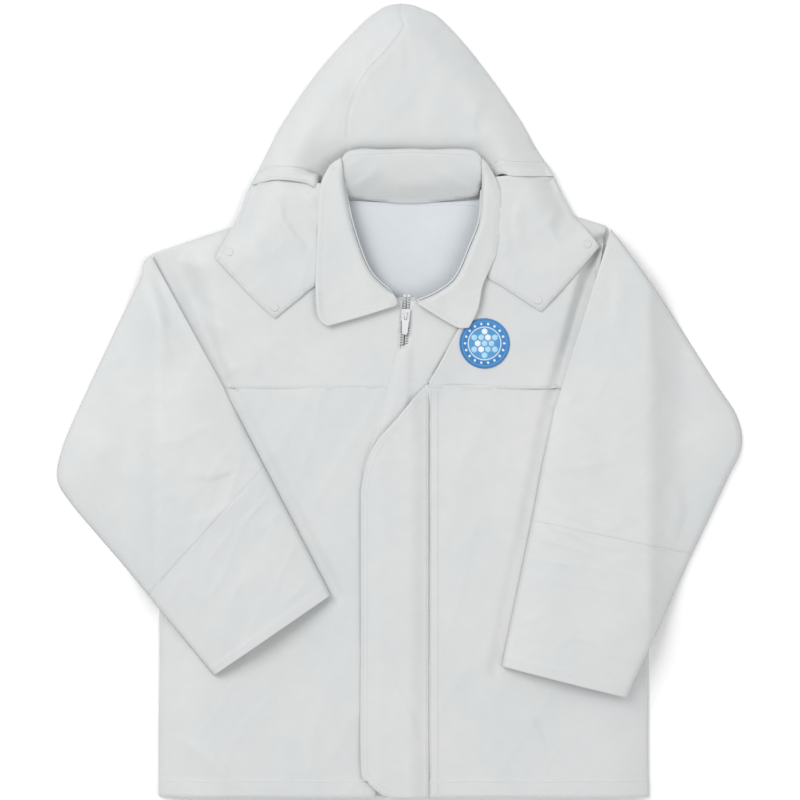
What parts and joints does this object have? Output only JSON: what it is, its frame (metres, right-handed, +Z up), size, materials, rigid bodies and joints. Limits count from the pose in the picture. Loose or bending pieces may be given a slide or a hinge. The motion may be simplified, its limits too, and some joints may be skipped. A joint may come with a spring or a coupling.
{
  "type": "hooded work jacket",
  "caption": "White hooded zip-front jacket of coated cloth, laid flat, with a storm flap, open collar, snapped hood flaps and folded-in sleeves.",
  "frame": {"origin": "middle of the footprint, on the surface that the jacket lies on", "axes": "+Y towards the hood's tip, +Z up through the front, +X towards the wearer's left sleeve"},
  "size_m": [0.8433, 0.984, 0.0389],
  "materials": {
    "shell_cloth": "off-white coated cloth, satin",
    "inner_cloth": "uncoated inner side of the cloth, slightly bluish, matte",
    "zip_tape": "woven polyester tape, matte",
    "hook_and_loop": "white hook-and-loop tape, matte",
    "zip_resin": "moulded white resin",
    "zip_metal": "nickel-plated, lightly worn",
    "snap_resin": "off-white lacquered snap cap",
    "patch": "printed and stitched round patch in two blues and white"
  },
  "bodies": {
    "torso": {"back_panel": "shell_cloth", "back_yoke": "inner_cloth", "front_panel_right": "shell_cloth", "front_panel_left": "shell_cloth", "front_yoke_right": "shell_cloth", "front_yoke_left": "shell_cloth", "zip_placket_left": "shell_cloth", "zip_teeth_right": "zip_resin", "zip_teeth_left": "zip_resin", "zip_tape_right": "zip_tape", "zip_tape_left": "zip_tape", "zip_stop_right": "zip_metal", "zip_stop_left": "zip_metal", "zip_retainer_box": "zip_resin", "zip_insert_pin": "zip_resin", "loop_tape_1": "hook_and_loop", "loop_tape_2": "hook_and_loop", "loop_tape_3": "hook_and_loop", "collar_leaf_right": "shell_cloth", "collar_leaf_left": "shell_cloth", "collar_back": "inner_cloth", "collar_stand_right": "shell_cloth", "collar_stand_left": "shell_cloth", "hood_nape": "inner_cloth", "hood_side_right": "shell_cloth", "hood_side_left": "shell_cloth", "hood_brim": "shell_cloth", "hood_neckband_right": "shell_cloth", "hood_neckband_left": "shell_cloth", "snap_stud_right_corner": "zip_metal", "snap_stud_right_tip": "zip_metal", "snap_stud_left_corner": "zip_metal", "snap_stud_left_tip": "zip_metal", "chest_patch": "patch"},
    "zip_slider": {"zip_slider": "zip_metal"},
    "zip_pull": {"zip_pull": "zip_metal"},
    "storm_flap": {"storm_flap": "shell_cloth", "hook_tape_1": "hook_and_loop", "hook_tape_2": "hook_and_loop", "hook_tape_3": "hook_and_loop"},
    "hood": {"hood_back": "inner_cloth", "hood_right": "shell_cloth", "hood_left": "shell_cloth"},
    "hood_flap_right": {"hood_flap_right": "shell_cloth", "snap_cap_right_corner": "snap_resin", "snap_cap_right_tip": "snap_resin"},
    "hood_flap_left": {"hood_flap_left": "shell_cloth", "snap_cap_left_corner": "snap_resin", "snap_cap_left_tip": "snap_resin"},
    "sleeve_right": {"sleeve_upper_right": "shell_cloth"},
    "forearm_right": {"sleeve_forearm_right": "shell_cloth"},
    "sleeve_left": {"sleeve_upper_left": "shell_cloth"},
    "forearm_left": {"sleeve_forearm_left": "shell_cloth"}
  },
  "joints": [
    {"name": "zip_slide", "type": "slide", "parent": "torso", "child": "zip_slider", "axis": [-0.0549, -0.9985, 0], "range_m": [-0.012, 0.545]},
    {"name": "zip_pull_swing", "type": "hinge", "parent": "zip_slider", "child": "zip_pull", "pos_m": [0.00829, 0.105, 0.0245], "axis": [-0.9985, 0.0549, 0], "range_deg": [0, 178]},
    {"name": "storm_flap_turn", "type": "hinge", "parent": "torso", "child": "storm_flap", "pos_m": [0.036, -0.23, 0.0221], "axis": [0, 1, 0], "range_deg": [0, 150]},
    {"name": "hood_fold", "type": "hinge", "parent": "torso", "child": "hood", "pos_m": [0.003, 0.314, 0.022], "axis": [1, 0, 0], "range_deg": [0, 90]},
    {"name": "hood_flap_right_lift", "type": "hinge", "parent": "torso", "child": "hood_flap_right", "pos_m": [-0.1045, 0.19, 0.0244], "axis": [0, 1, 0], "range_deg": [0, 80]},
    {"name": "hood_flap_left_lift", "type": "hinge", "parent": "torso", "child": "hood_flap_left", "pos_m": [0.127, 0.19, 0.0244], "axis": [0, -1, 0], "range_deg": [0, 80]},
    {"name": "shoulder_right_swing", "type": "hinge", "parent": "torso", "child": "sleeve_right", "pos_m": [-0.3095, 0.1775, 0.024], "axis": [0, 0, -1], "range_deg": [0, 40]},
    {"name": "elbow_right_swing", "type": "hinge", "parent": "sleeve_right", "child": "forearm_right", "pos_m": [-0.31165, -0.24294, 0.022], "axis": [0, 0, -1], "range_deg": [0, 30]},
    {"name": "shoulder_left_swing", "type": "hinge", "parent": "torso", "child": "sleeve_left", "pos_m": [0.2645, 0.2135, 0.024], "axis": [0, 0, 1], "range_deg": [0, 40]},
    {"name": "elbow_left_swing", "type": "hinge", "parent": "sleeve_left", "child": "forearm_left", "pos_m": [0.3798, -0.16093, 0.022], "axis": [0, 0, 1], "range_deg": [0, 30]}
  ]
}
